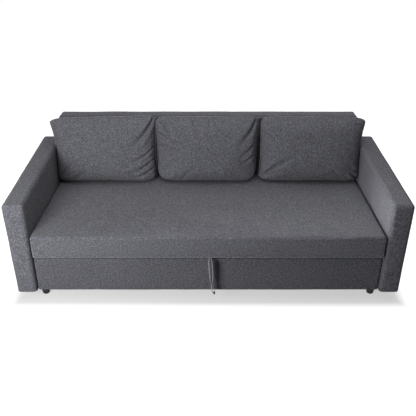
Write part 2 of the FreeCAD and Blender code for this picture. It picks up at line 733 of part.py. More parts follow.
def build():
    """Every node's name and shape."""
    nodes = {
        "side_rail_right": side_rail(),
        "rear_rail": rear_rail(),
        "foot_studs": foot_studs(),
        "runner_right": runner(),
        "runner_screws": runner_screws(),
        "runner_stops": runner_stops(),
        "arm_cover_right": arm_cover(),
        "arm_frame_right": arm_frame(),
        "arm_bottom_cloth_right": arm_cloth(),
        "arm_bolts": arm_bolts(),
        "seat_pad": seat_pad(),
        "seat_frame": seat_frame(),
        "seat_slats": seat_slats(),
        "seat_bottom_cloth": seat_cloth(),
        "back_cover": back_cover(),
        "back_frame": back_frame(),
        "back_front_pad": back_front_pad(),
        "back_bottom_cloth": back_cloth(),
        "front_panel_cover": panel_cover(),
        "front_panel_board": drilled(
            panel_board(), [V(p.x, p.y, PANEL_TOP - BOARD_MARGIN) for p in strap_screw_points()],
            V(0, 0, -1), 2.0),
        "pull_side_rail_right": pull_side_rail(),
        "pull_front_rail": pull_front_rail(),
        "pull_mid_rail": cross_rail(MID_RAIL_Y),
        "pull_rear_rail": cross_rail(PULL_REAR - TIMBER),
        "pull_centre_rail": pull_centre_rail(),
        "pull_slats": pull_slats(),
        "slat_holders": slat_holders(),
        "bed_pad": bed_pad(),
        "corner_brackets": corner_brackets(),
        "bracket_screws": bracket_screws(),
        "caster_blocks": caster_blocks(),
        "caster_forks": group([caster_fork(x) for x in CASTER_X]),
        "caster_axles": group([caster_axle(x) for x in CASTER_X]),
        "roller_right": roller(),
        "roller_pins": roller_pins(),
        "strap_tail": strap_tail(),
        "strap_plate": strap_plate(),
        "strap_screws": strap_screws(),
        "pull_strap": pull_strap(),
    }
    for name in [n for n in nodes if n.endswith("_right")]:
        nodes[name.replace("_right", "_left")] = mirrored(nodes[name])
    for name, (x, y) in foot_places().items():
        nodes[name] = foot(x, y)
    for name, x in zip(CASTER_NAMES, CASTER_X):
        nodes["caster_wheel_" + name] = caster_wheel(x)
    for name, (x0, x1) in CUSHION_SPANS.items():
        nodes[name] = back_cushion(x0, x1)
    return nodes


os.makedirs("parts", exist_ok=True)
for name, shape in build().items():
    if not shape.isValid():
        raise RuntimeError(name + " is not a valid solid")
    shape.exportStep("parts/" + name + ".step")
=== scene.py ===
import json
import math

import bpy
import numpy as np
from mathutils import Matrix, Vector, noise


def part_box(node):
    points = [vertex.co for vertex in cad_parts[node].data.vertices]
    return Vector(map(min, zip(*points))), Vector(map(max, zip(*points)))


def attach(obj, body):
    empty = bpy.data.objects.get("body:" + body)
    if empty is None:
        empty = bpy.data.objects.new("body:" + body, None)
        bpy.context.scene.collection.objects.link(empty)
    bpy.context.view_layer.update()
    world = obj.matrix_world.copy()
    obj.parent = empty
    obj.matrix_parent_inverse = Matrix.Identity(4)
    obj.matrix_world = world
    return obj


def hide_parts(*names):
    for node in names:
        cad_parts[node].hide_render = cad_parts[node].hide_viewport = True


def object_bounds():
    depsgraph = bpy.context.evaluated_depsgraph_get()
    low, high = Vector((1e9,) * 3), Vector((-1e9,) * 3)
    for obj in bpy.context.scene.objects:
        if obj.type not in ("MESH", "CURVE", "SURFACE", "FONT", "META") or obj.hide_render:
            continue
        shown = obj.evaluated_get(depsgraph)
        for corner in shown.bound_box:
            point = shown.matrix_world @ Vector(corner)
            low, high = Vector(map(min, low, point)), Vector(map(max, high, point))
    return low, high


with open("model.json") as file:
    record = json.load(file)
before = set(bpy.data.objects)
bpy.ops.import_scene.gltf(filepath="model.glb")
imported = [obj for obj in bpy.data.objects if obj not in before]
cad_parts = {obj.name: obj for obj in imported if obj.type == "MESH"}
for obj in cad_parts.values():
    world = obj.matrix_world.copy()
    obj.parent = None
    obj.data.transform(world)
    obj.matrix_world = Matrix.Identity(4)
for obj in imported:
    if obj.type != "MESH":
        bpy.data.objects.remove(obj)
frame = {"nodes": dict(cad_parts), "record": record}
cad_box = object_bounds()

# Camera, from the photograph's perspective
LENS = 48.80
SENSOR = 36.0
CAMERA_AT = (-0.0006, -3.224, 2.025)
CAMERA_DOWN = math.radians(27.39)

# Sizes in metres, where the frame doesn't give them
CELL = 0.03
SEAT_TOP = 0.440
BACK_FOOT_Y = 0.358
BACK_TOP_Y = 0.392
BACK_TOP = 0.830
ARM_EDGE = 0.022
BACK_EDGE = 0.016
PAD_EDGE = 0.011
PANEL_EDGE = 0.011
SEAT_EDGE = 0.014
BED_EDGE = 0.018
ARM_TAPER = 0.008
ARM_RISE = 0.058
SEAT_FRONT = -0.511
SEAT_CROWN_ROOM = 0.005
PANEL_SET_BACK = 0.010
PANEL_TOP_GAP = 0.010
SEAM_INSET = 0.004
STRAP_Y = -0.528
STRAP_TURN = -0.25
STRAP_WIDTH = 0.022
STRAP_THICKNESS = 0.0018
FLOOR_HALF = 12.0

# Back cushions: grid, corners, cloth simulation, and how they rest on the seat and the back
CUSHION_ROWS = 62
CUSHION_COLUMNS = 90
CUSHION_SEAM_Y = 0.290
CORNER_SHARPNESS = 10
CORNER_ROUND = 0.018
SWELL_FRAMES = 20
SWELL_LIMIT = 0.026
SWELL_PRESSURE = 4.0
CLOTH_EASE = 0.008
SEAM_RADIUS = 0.0024
DEEPEST_FOLD = 0.6
REST_GAP = 0.001
REST_SOFT = 0.015

# Colours, linear
CLOTH_DARK = (0.066, 0.067, 0.078)
CLOTH_MID = (0.125, 0.126, 0.143)
CLOTH_LIGHT = (0.215, 0.217, 0.240)
# Painted shade: the front panel's cloth is the seat's cloth painted 18% darker, as shade under the seat
PANEL_SHADE_TINT = 0.82
# Painted highlight: seams and welts take the cloth painted 1.7 times lighter
SEAM_HIGHLIGHT_TINT = 1.7


# Meshes

def make_object(name, points, faces, material, smooth=True):
    """A mesh object from points and faces."""
    mesh = bpy.data.meshes.new(name)
    mesh.from_pydata([tuple(p) for p in points], [], [tuple(int(i) for i in f) for f in faces])
    mesh.validate()
    mesh.shade_smooth() if smooth else mesh.shade_flat()
    obj = bpy.data.objects.new(name, mesh)
    bpy.context.scene.collection.objects.link(obj)
    obj.data.materials.append(material)
    return obj


def weld(grids):
    """Joins grids of points at the points that they share. Columns past the third ride along."""
    points, faces, start = [], [], 0
    for grid in grids:
        rows, columns = grid.shape[:2]
        index = start + np.arange(rows * columns).reshape(rows, columns)
        quads = np.stack([index[:-1, :-1], index[:-1, 1:], index[1:, 1:], index[1:, :-1]], axis=-1)
        points.append(grid.reshape(rows * columns, -1))
        faces.append(quads.reshape(-1, 4))
        start += rows * columns
    points, faces = np.concatenate(points), np.concatenate(faces)
    keys = np.round(points[:, :3] * 1e6).astype(np.int64)
    _, first, where = np.unique(keys, axis=0, return_index=True, return_inverse=True)
    return points[first], where.reshape(-1)[faces]


def stops(low, high, radius, cell):
    """Places of grid lines along one side: close together at the rounded ends."""
    ends = radius * np.array([0.0, 0.12, 0.28, 0.46, 0.66, 0.88, 1.1])
    count = max(2, int(round((high - low - 2.2 * radius) / cell)))
    middle = np.linspace(low + 1.1 * radius, high - 1.1 * radius, count + 1)
    return np.concatenate([low + ends[:-1], middle, (high - ends[:-1])[::-1]])


def box_grids(low, high, radius, cell):
    """The six faces of a box as grids of points, wound to face outwards."""
    lines = [stops(low[k], high[k], radius, cell) for k in range(3)]
    grids = []
    for axis in range(3):
        a, b = (axis + 1) % 3, (axis + 2) % 3
        for side in (0, 1):
            grid = np.zeros((len(lines[a]), len(lines[b]), 3))
            grid[..., a] = lines[a][:, None]
            grid[..., b] = lines[b][None, :]
            grid[..., axis] = (low, high)[side][axis]
            grids.append(grid if side == 0 else grid[::-1])
    return grids


def rounded(points, low, high, radius):
    """Moves points on a box's surface to the same box with round edges and corners."""
    core = np.clip(points, np.array(low) + radius, np.array(high) - radius)
    away = points - core
    length = np.linalg.norm(away, axis=1, keepdims=True)
    return core + radius * away / np.maximum(length, 1e-9)


def crowned(points, low, high, crown):
    """Swells each face of a box outwards, most at its middle. crown gives metres per axis."""
    low, high = np.array(low), np.array(high)
    share = 2 * (points - low) / (high - low) - 1
    fall = 1 - np.abs(share) ** 4
    out = points.copy()
    for axis in range(3):
        a, b = (axis + 1) % 3, (axis + 2) % 3
        out[:, axis] += crown[axis] * share[:, axis] ** 7 * fall[:, a] * fall[:, b]
    return out


def unevenness(points, size, height, seed):
    """Gentle waves of filled cloth: how far each point stands out, in metres."""
    shift = Vector((seed * 7.3, seed * 3.1, seed * 5.7))
    return np.array([noise.noise(Vector(p) / size + shift) for p in points]) * height


def along_normals(obj, heights):
    """Moves each vertex along its normal."""
    mesh = obj.data
    normals = np.zeros(len(mesh.vertices) * 3)
    mesh.vertices.foreach_get("normal", normals)
    points = np.zeros(len(mesh.vertices) * 3)
    mesh.vertices.foreach_get("co", points)
    moved = points.reshape(-1, 3) + normals.reshape(-1, 3) * heights[:, None]
    mesh.vertices.foreach_set("co", moved.reshape(-1))
    mesh.update()


def coordinates(obj):
    """The places of an object's vertices, in its own frame."""
    points = np.zeros(len(obj.data.vertices) * 3)
    obj.data.vertices.foreach_get("co", points)
    return points.reshape(-1, 3)


def upholstered(name, low, high, material, radius, crown, waves, warp, seed):
    """A padded, cloth-covered box: round upper edges, swollen faces, uneven cloth, a crisp lower edge."""
    deep = [low[0], low[1], low[2] - radius]
    points, faces = weld(box_grids(deep, high, radius, CELL))
    points = crowned(rounded(points, deep, high, radius), low, high, crown)
    points[:, 2] = np.maximum(points[:, 2], low[2])
    if warp:
        points = warp(points)
    obj = make_object(name, points, faces, material)
    broad = unevenness(points, 0.16, waves, seed)
    fine = unevenness(points, 0.05, waves / 3, seed + 1)
    along_normals(obj, broad + fine)
    return obj


def tube_along(points, radius, sides=8):
    """Grid of points round a line, closed at both ends."""
    points = np.array(points, dtype=float)
    ahead = np.gradient(points, axis=0)
    ahead /= np.linalg.norm(ahead, axis=1, keepdims=True)
    up = np.where(np.abs(ahead[:, 2:3]) > 0.9, np.array([[0.0, 1.0, 0.0]]), np.array([[0.0, 0.0, 1.0]]))
    side = np.cross(ahead, up)
    side /= np.linalg.norm(side, axis=1, keepdims=True)
    over = np.cross(side, ahead)
    angles = np.linspace(0, 2 * math.pi, sides + 1)
    grid = points[:, None] + radius * (
        side[:, None] * np.cos(angles)[None, :, None] + over[:, None] * np.sin(angles)[None, :, None])
    start = np.repeat(points[:1, None], sides + 1, axis=1)
    end = np.repeat(points[-1:, None], sides + 1, axis=1)
    return np.concatenate([start, grid, end])


# Materials

def new_material(name):
    """A material with its nodes and links, to be filled in."""
    material = bpy.data.materials.new(name)
    material.use_nodes = True
    return material, material.node_tree.nodes, material.node_tree.links


def put(nodes, kind, **values):
    """Adds a node and sets its properties or input values by name."""
    node = nodes.new(kind)
    for key, value in values.items():
        if key in node.bl_rna.properties:
            setattr(node, key, value)
        else:
            node.inputs[key.replace("_", " ")].default_value = value
    return node


def flat_coordinates(nodes, links):
    """Surface coordinates without UVs: two of X, Y and Z, chosen by where the surface faces."""
    place = put(nodes, "ShaderNodeTexCoord")
    facing = put(nodes, "ShaderNodeSeparateXYZ")
    links.new(place.outputs["Normal"], facing.inputs[0])
    parts = put(nodes, "ShaderNodeSeparateXYZ")
    links.new(place.outputs["Object"], parts.inputs[0])
    sizes = []
    for axis in "XYZ":
        size = put(nodes, "ShaderNodeMath", operation="ABSOLUTE")
        links.new(facing.outputs[axis], size.inputs[0])
        sizes.append(size)
    up = put(nodes, "ShaderNodeMath", operation="GREATER_THAN")
    up.inputs[1].default_value = 0.6
    links.new(sizes[2].outputs[0], up.inputs[0])
    across = put(nodes, "ShaderNodeMath", operation="GREATER_THAN")
    links.new(sizes[0].outputs[0], across.inputs[0])
    links.new(sizes[1].outputs[0], across.inputs[1])
    first = put(nodes, "ShaderNodeMix")
    links.new(across.outputs[0], first.inputs[0])
    links.new(parts.outputs["X"], first.inputs[2])
    links.new(parts.outputs["Y"], first.inputs[3])
    second = put(nodes, "ShaderNodeMix")
    links.new(up.outputs[0], second.inputs[0])
    links.new(parts.outputs["Z"], second.inputs[2])
    links.new(parts.outputs["Y"], second.inputs[3])
    straight = put(nodes, "ShaderNodeMix")
    links.new(up.outputs[0], straight.inputs[0])
    links.new(first.outputs[0], straight.inputs[2])
    links.new(parts.outputs["X"], straight.inputs[3])
    joined = put(nodes, "ShaderNodeCombineXYZ")
    links.new(straight.outputs[0], joined.inputs["X"])
    links.new(second.outputs[0], joined.inputs["Y"])
    return place, joined


def weave_height(nodes, links, flat, thread):
    """Plain weave: threads that go over and under one another, as a height from 0 to 1."""
    turns = put(nodes, "ShaderNodeVectorMath", operation="SCALE")
    turns.inputs["Scale"].default_value = math.pi / thread
    links.new(flat.outputs[0], turns.inputs[0])
    parts = put(nodes, "ShaderNodeSeparateXYZ")
    links.new(turns.outputs[0], parts.inputs[0])
    waves = []
    for axis in "XY":
        wave = put(nodes, "ShaderNodeMath", operation="SINE")
        links.new(parts.outputs[axis], wave.inputs[0])
        waves.append(wave)
    cross = put(nodes, "ShaderNodeMath", operation="MULTIPLY")
    links.new(waves[0].outputs[0], cross.inputs[0])
    links.new(waves[1].outputs[0], cross.inputs[1])
    half = put(nodes, "ShaderNodeMath", operation="MULTIPLY_ADD")
    half.inputs[1].default_value = 0.5
    half.inputs[2].default_value = 0.5
    links.new(cross.outputs[0], half.inputs[0])
    return half


def ramp(nodes, links, source, *steps):
    """A colour ramp: steps are (place, colour)."""
    node = put(nodes, "ShaderNodeValToRGB")
    line = node.color_ramp
    while len(line.elements) < len(steps):
        line.elements.new(0.5)
    for element, (place, colour) in zip(line.elements, steps):
        element.position = place
        element.color = (*colour, 1.0)
    links.new(source, node.inputs[0])
    return node


def melange_cloth(name, tint=1.0, thread=0.0021):
    """Two-tone upholstery cloth: slubby dark and light yarns in a plain weave, a little fuzzy."""
    material, nodes, links = new_material(name)
    shader = nodes["Principled BSDF"]
    place, flat = flat_coordinates(nodes, links)
    yarn = put(nodes, "ShaderNodeTexNoise", Scale=115.0, Detail=4.0, Roughness=0.75)
    links.new(place.outputs["Object"], yarn.inputs["Vector"])
    # tint scales every yarn colour: below 1 it paints shade, above 1 it paints a highlight
    colours = [tuple(tint * c for c in colour) for colour in (CLOTH_DARK, CLOTH_MID, CLOTH_LIGHT)]
    steps = zip((0.36, 0.51, 0.67), colours)
    tones = ramp(nodes, links, yarn.outputs["Fac"], *steps)
    height = weave_height(nodes, links, flat, thread)
    shade = put(nodes, "ShaderNodeMapRange", To_Min=0.78, To_Max=1.12)
    links.new(height.outputs[0], shade.inputs["Value"])
    broad = put(nodes, "ShaderNodeTexNoise", Scale=9.0, Detail=3.0)
    links.new(place.outputs["Object"], broad.inputs["Vector"])
    drift = put(nodes, "ShaderNodeMapRange", To_Min=0.93, To_Max=1.07)
    links.new(broad.outputs["Fac"], drift.inputs["Value"])
    factor = put(nodes, "ShaderNodeMath", operation="MULTIPLY")
    links.new(shade.outputs[0], factor.inputs[0])
    links.new(drift.outputs[0], factor.inputs[1])
    scaled = put(nodes, "ShaderNodeVectorMath", operation="SCALE")
    links.new(tones.outputs["Color"], scaled.inputs[0])
    links.new(factor.outputs[0], scaled.inputs["Scale"])
    links.new(scaled.outputs[0], shader.inputs["Base Color"])
    lumps = put(nodes, "ShaderNodeMath", operation="ADD")
    links.new(height.outputs[0], lumps.inputs[0])
    links.new(yarn.outputs["Fac"], lumps.inputs[1])
    bump = put(nodes, "ShaderNodeBump", Strength=0.35, Distance=0.0012)
    links.new(lumps.outputs[0], bump.inputs["Height"])
    links.new(bump.outputs[0], shader.inputs["Normal"])
    shader.inputs["Roughness"].default_value = 0.92
    shader.inputs["Specular IOR Level"].default_value = 0.18
    shader.inputs["Sheen Weight"].default_value = 0.12
    shader.inputs["Sheen Roughness"].default_value = 0.5
    return material


def plain_material(name, colour, roughness, metallic=0.0, spots=90.0, depth=0.0002, spread=0.15):
    """Moulded plastic, painted or plated metal: fine grain in colour, roughness and relief."""
    material, nodes, links = new_material(name)
    shader = nodes["Principled BSDF"]
    place = put(nodes, "ShaderNodeTexCoord")
    grain = put(nodes, "ShaderNodeTexNoise", Scale=spots, Detail=6.0, Roughness=0.65)
    links.new(place.outputs["Object"], grain.inputs["Vector"])
    dark = tuple(c * (1 - spread) for c in colour)
    light = tuple(c * (1 + spread) for c in colour)
    tones = ramp(nodes, links, grain.outputs["Fac"], (0.3, dark), (0.7, light))
    links.new(tones.outputs["Color"], shader.inputs["Base Color"])
    rough = put(nodes, "ShaderNodeMapRange", To_Min=roughness - 0.06, To_Max=roughness + 0.06)
    links.new(grain.outputs["Fac"], rough.inputs["Value"])
    links.new(rough.outputs[0], shader.inputs["Roughness"])
    bump = put(nodes, "ShaderNodeBump", Strength=0.4, Distance=depth)
    links.new(grain.outputs["Fac"], bump.inputs["Height"])
    links.new(bump.outputs[0], shader.inputs["Normal"])
    shader.inputs["Metallic"].default_value = metallic
    return material


def wood_material(name, dark, light, along=(1.0, 9.0, 9.0)):
    """Planed timber: grain stretched along one axis."""
    material, nodes, links = new_material(name)
    shader = nodes["Principled BSDF"]
    place = put(nodes, "ShaderNodeTexCoord")
    stretch = put(nodes, "ShaderNodeVectorMath", operation="MULTIPLY")
    stretch.inputs[1].default_value = along
    links.new(place.outputs["Object"], stretch.inputs[0])
    grain = put(nodes, "ShaderNodeTexNoise", Scale=7.0, Detail=8.0, Roughness=0.6, Distortion=1.2)
    links.new(stretch.outputs[0], grain.inputs["Vector"])
    tones = ramp(nodes, links, grain.outputs["Fac"], (0.36, dark), (0.64, light))
    links.new(tones.outputs["Color"], shader.inputs["Base Color"])
    bump = put(nodes, "ShaderNodeBump", Strength=0.25, Distance=0.0006)
    links.new(grain.outputs["Fac"], bump.inputs["Height"])
    links.new(bump.outputs[0], shader.inputs["Normal"])
    shader.inputs["Roughness"].default_value = 0.62
    return material


def webbing_material(name):
    """Light-grey woven tape with fine ribs across."""
    material, nodes, links = new_material(name)
    shader = nodes["Principled BSDF"]
    place = put(nodes, "ShaderNodeTexCoord")
    rib = put(nodes, "ShaderNodeTexWave", bands_direction="Z", Scale=260.0, Distortion=0.6, Detail=2.0)
    links.new(place.outputs["Object"], rib.inputs["Vector"])
    tones = ramp(nodes, links, rib.outputs["Fac"], (0.0, (0.16, 0.163, 0.175)), (1.0, (0.34, 0.345, 0.365)))
    links.new(tones.outputs["Color"], shader.inputs["Base Color"])
    bump = put(nodes, "ShaderNodeBump", Strength=0.6, Distance=0.0004)
    links.new(rib.outputs["Fac"], bump.inputs["Height"])
    links.new(bump.outputs[0], shader.inputs["Normal"])
    shader.inputs["Roughness"].default_value = 0.75
    return material


def lining_material(name):
    """Black spun lining: matt, with small bonded dots."""
    material, nodes, links = new_material(name)
    shader = nodes["Principled BSDF"]
    place = put(nodes, "ShaderNodeTexCoord")
    dots = put(nodes, "ShaderNodeTexVoronoi", Scale=450.0)
    links.new(place.outputs["Object"], dots.inputs["Vector"])
    near, far = (0.03, 0.03, 0.032), (0.012, 0.012, 0.013)
    tones = ramp(nodes, links, dots.outputs["Distance"], (0.1, near), (0.5, far))
    links.new(tones.outputs["Color"], shader.inputs["Base Color"])
    shader.inputs["Roughness"].default_value = 0.9
    return material


cloth = melange_cloth("upholstery_cloth")
# The same cloth painted darker, as shade on the panel under the seat
panel_shade_cloth = melange_cloth("panel_shade_cloth", PANEL_SHADE_TINT)
# The same cloth painted lighter, as a highlight along seams and welts
seam_highlight_cloth = melange_cloth("seam_highlight_cloth", SEAM_HIGHLIGHT_TINT)
MATERIALS = {
    "upholstery": cloth,
    "seat_cloth": cloth,
    "cushion_cloth": cloth,
    "bed_cloth": cloth,
    "lining": lining_material("spun_lining"),
    "timber": wood_material("pine", (0.36, 0.22, 0.11), (0.62, 0.44, 0.26)),
    "slat_wood": wood_material("beech", (0.46, 0.30, 0.16), (0.70, 0.52, 0.33), (9.0, 1.0, 9.0)),
    "black_steel": plain_material("black_steel", (0.028, 0.028, 0.031), 0.42, spots=300.0),
    "zinc_steel": plain_material("zinc_steel", (0.56, 0.56, 0.55), 0.34, 1.0, 160.0),
    "black_plastic": plain_material("black_plastic", (0.008, 0.008, 0.009), 0.55, spots=420.0),
    "wheel_plastic": plain_material("wheel_plastic", (0.045, 0.045, 0.048), 0.5, spots=300.0),
    "stop_rubber": plain_material("stop_rubber", (0.02, 0.02, 0.02), 0.8, spots=200.0),
    "webbing": webbing_material("webbing"),
}


def dress_frame():
    """Gives every CAD node that stays in view the material of its slot."""
    slots = {s["node"]: s["material_slot"] for s in frame["record"]["subparts"]}
    for name, obj in frame["nodes"].items():
        for spot in obj.material_slots:
            spot.link = "OBJECT"
            spot.material = MATERIALS[slots[name]]


# Arms, back, panel and seat

def arm(side):
    """One arm: its top slopes up to the rear and its outer face leans in to the floor."""
    node = "arm_cover_" + side
    low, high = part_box(node)
    length = high[1] - low[1]
    sign = 1 if side == "right" else -1
    full = high[2] - low[2]

    def warp(points):
        up = (points[:, 2] - low[2]) / full
        back = (points[:, 1] - low[1]) / length
        points[:, 2] -= ARM_RISE * (1 - back) * up
        outer = sign * points[:, 0] > sign * (low[0] + high[0]) / 2
        points[:, 0] -= sign * ARM_TAPER * (1 - up) * outer
        return points

    obj = upholstered(node + "_soft", low, high, cloth, ARM_EDGE, (0.001, 0.003, 0.004), 0.0015, warp,
                      3 if side == "right" else 5)
    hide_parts(node)
    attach(obj, "base")


def back():
    """The back's cover and, in front of it, the leaning inside-back pad."""
    low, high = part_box("back_cover")
    cover = upholstered("back_cover_soft", low, high, cloth, BACK_EDGE, (0, 0.002, 0.003), 0.0015, None, 8)
    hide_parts("back_cover")
    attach(cover, "base")
    low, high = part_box("back_front_pad")
    lean = BACK_TOP_Y - BACK_FOOT_Y
    span = BACK_TOP - SEAT_TOP

    def warp(points):
        up = np.clip((points[:, 2] - SEAT_TOP) / span, 0, 1)
        front = np.clip((high[1] - points[:, 1]) / (high[1] - low[1]), 0, 1)
        points[:, 1] += lean * up * front
        return points

    pad = upholstered("back_front_pad_soft", low, high, cloth, PAD_EDGE, (0, 0.001, 0.002), 0.001, warp, 9)
    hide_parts("back_front_pad")
    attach(pad, "base")


def front_panel():
    """The pull-out's front, set back so that a dark gap shows under the seat. Its cloth is painted darker, as
    shade under the seat.
    """
    low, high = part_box("front_panel_cover")
    low = [low[0], low[1] + PANEL_SET_BACK, low[2]]
    high = [high[0], high[1], high[2] - PANEL_TOP_GAP]
    # Painted shade: the panel takes the darkened copy of the cloth
    panel = upholstered("front_panel_soft", low, high, panel_shade_cloth, PANEL_EDGE, (0, 0.0015, 0), 0.0012,
                        None, 12)
    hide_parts("front_panel_cover", "front_panel_board")
    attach(panel, "pull_out")


def seat():
    """The bench seat, with a seam down each front corner and along its lower front edge. The seams are
    painted lighter, as highlights.
    """
    low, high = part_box("seat_pad")
    low, high = list(low), list(high)
    low[1] = SEAT_FRONT
    high[2] = SEAT_TOP - SEAT_CROWN_ROOM
    pad = upholstered("seat_soft", low, high, cloth, SEAT_EDGE, (0, 0.003, 0.006), 0.0018, None, 15)
    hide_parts("seat_pad")
    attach(pad, "base")
    left, right, front = low[0] + SEAM_INSET, high[0] - SEAM_INSET, low[1] + SEAM_INSET
    seams = {
        "seat_corner_seam_left": [(left, front, low[2] + 0.003), (left, front, high[2] - 0.012)],
        "seat_corner_seam_right": [(right, front, low[2] + 0.003), (right, front, high[2] - 0.012)],
        "seat_hem": [(left, low[1] + 0.001, low[2] + 0.002), (right, low[1] + 0.001, low[2] + 0.002)],
    }
    for name, ends in seams.items():
        points, faces = weld([tube_along(smooth_line(ends, 40), SEAM_RADIUS)])
        # Painted highlight: each seam takes the lightened cloth
        seam = make_object(name, points, faces, seam_highlight_cloth)
        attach(seam, "base")


def bed():
    """The padded top of the pull-out."""
    low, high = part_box("bed_pad")
    pad = upholstered("bed_soft", low, high, cloth, BED_EDGE, (0, 0, 0), 0.002, None, 18)
    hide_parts("bed_pad")
    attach(pad, "pull_out")


# Back cushions

def fullness(u, v):
    """Share of a cushion's full depth at a place on its panel: none at the seam, most low down."""
    upright = np.where(v > 0, 1 - np.abs(v) ** 2.6, 1 - np.abs(v) ** 10)
    return np.maximum((1 - np.abs(u) ** 5) * upright, 0) ** 0.42


def cushion_panel(side, look):
    """One of a cushion's two sewn panels, in its own plane: side 1 is its front, -1 its rear."""
    half_w, half_h = (look["x1"] - look["x0"]) / 2, (look["z1"] - look["z0"]) / 2
    u, v = np.meshgrid(np.linspace(-1, 1, CUSHION_COLUMNS), np.linspace(-1, 1, CUSHION_ROWS))
    x = u * half_w * (1 - look["draw"] * (1 - v ** 2))
    h = v * half_h * (1 - look["draw"] * (1 - u ** 2))
    corner = np.abs(u * v) ** CORNER_SHARPNESS
    x -= np.sign(u) * CORNER_ROUND * corner
    h -= np.sign(v) * CORNER_ROUND * corner
    for (cu, cv), (dx, dh) in look["ears"].items():
        near = (np.clip(1 + cu * u, 0, 2) * np.clip(1 + cv * v, 0, 2) / 4) ** 5
        x += dx * near
        h += dh * near
    depth = look["front" if side > 0 else "rear"] * fullness(u, v) * (1 - look["slump"] * v)
    return np.stack([u, v, x, h, side * depth], axis=-1)


def swollen(obj, seam):
    """Inflates a sewn shell by cloth simulation with its seam held. Long moves are cut short."""
    start = coordinates(obj)
    held = obj.vertex_groups.new(name="seam")
    held.add([int(i) for i in seam], 1.0, "REPLACE")
    cloth_sim = obj.modifiers.new("swell", "CLOTH")
    rules = cloth_sim.settings
    rules.quality = 6
    rules.mass = 0.25
    rules.tension_stiffness = 40.0
    rules.compression_stiffness = 12.0
    rules.shear_stiffness = 8.0
    rules.bending_stiffness = 0.15
    rules.shrink_min = -CLOTH_EASE
    rules.vertex_group_mass = "seam"
    rules.use_pressure = True
    rules.uniform_pressure_force = SWELL_PRESSURE
    rules.effector_weights.gravity = 0.0
    cloth_sim.point_cache.frame_end = SWELL_FRAMES
    scene = bpy.context.scene
    for step in range(1, SWELL_FRAMES + 1):
        scene.frame_set(step)
    seen = obj.evaluated_get(bpy.context.evaluated_depsgraph_get())
    mesh = bpy.data.meshes.new_from_object(seen)
    end = np.zeros(len(mesh.vertices) * 3)
    mesh.vertices.foreach_get("co", end)
    bpy.data.meshes.remove(mesh)
    obj.modifiers.remove(cloth_sim)
    scene.frame_set(1)
    moved = end.reshape(-1, 3) - start
    length = np.linalg.norm(moved, axis=1, keepdims=True)
    return start + moved * SWELL_LIMIT * np.tanh(length / SWELL_LIMIT) / np.maximum(length, 1e-9)


def crease(u, v, fold, half):
    """How far a fold lifts the cloth: a valley with a ridge beside it, fading at its far end."""
    (u0, v0), (u1, v1), width, depth = fold
    ax, ay = (u1 - u0) * half[0], (v1 - v0) * half[1]
    px, py = (u - u0) * half[0], (v - v0) * half[1]
    length = math.hypot(ax, ay)
    t = np.clip((px * ax + py * ay) / length ** 2, 0, 1)
    bend = 0.06 * length * np.sin(math.pi * t)
    off = (px * ay - py * ax) / length + bend
    beyond = (px * ax + py * ay) / length ** 2
    fade = np.where(beyond < 0, np.exp(-(beyond * length / width) ** 2), 1 - np.clip(beyond, 0, 1) ** 1.5)
    spread = width * (0.6 + 0.9 * t)
    valley = -np.exp(-(off / spread) ** 2)
    ridge = 0.55 * np.exp(-((off - 1.9 * spread) / (1.2 * spread)) ** 2)
    other = 0.35 * np.exp(-((off + 1.9 * spread) / (1.2 * spread)) ** 2)
    return depth * fade * (valley + ridge + other)


def subdivided(obj):
    """Smooths the mesh by one subdivision."""
    smooth = obj.modifiers.new("smooth", "SUBSURF")
    smooth.levels = smooth.render_levels = 1
    seen = obj.evaluated_get(bpy.context.evaluated_depsgraph_get())
    mesh = bpy.data.meshes.new_from_object(seen)
    obj.modifiers.remove(smooth)
    obj.data = mesh
    mesh.shade_smooth()


def set_points(obj, points):
    """Moves an object's vertices to new places."""
    obj.data.vertices.foreach_set("co", points.reshape(-1))
    obj.data.update()


def leaning(points, look):
    """Takes points from a cushion's own plane to its place: standing on the seat, against the back."""
    lean = math.atan2(BACK_TOP_Y - BACK_FOOT_Y, BACK_TOP - SEAT_TOP) + look["tilt"]
    middle_x, middle_z = (look["x0"] + look["x1"]) / 2, (look["z0"] + look["z1"]) / 2
    x = middle_x + points[:, 0]
    y = CUSHION_SEAM_Y + points[:, 1] * math.cos(lean) + points[:, 2] * math.sin(lean)
    z = middle_z + points[:, 2] * math.cos(lean) - points[:, 1] * math.sin(lean)
    rise = np.clip((z - SEAT_TOP) / (BACK_TOP - SEAT_TOP), 0, 1)
    wall = BACK_FOOT_Y + rise * (BACK_TOP_Y - BACK_FOOT_Y) - REST_GAP
    floor = SEAT_TOP - REST_GAP
    y = np.where(y > wall - REST_SOFT, wall - REST_SOFT * np.exp((wall - REST_SOFT - y) / REST_SOFT), y)
    z = np.where(z < floor + REST_SOFT, floor + REST_SOFT * np.exp((z - floor - REST_SOFT) / REST_SOFT), z)
    return np.stack([x, y, z], axis=-1)


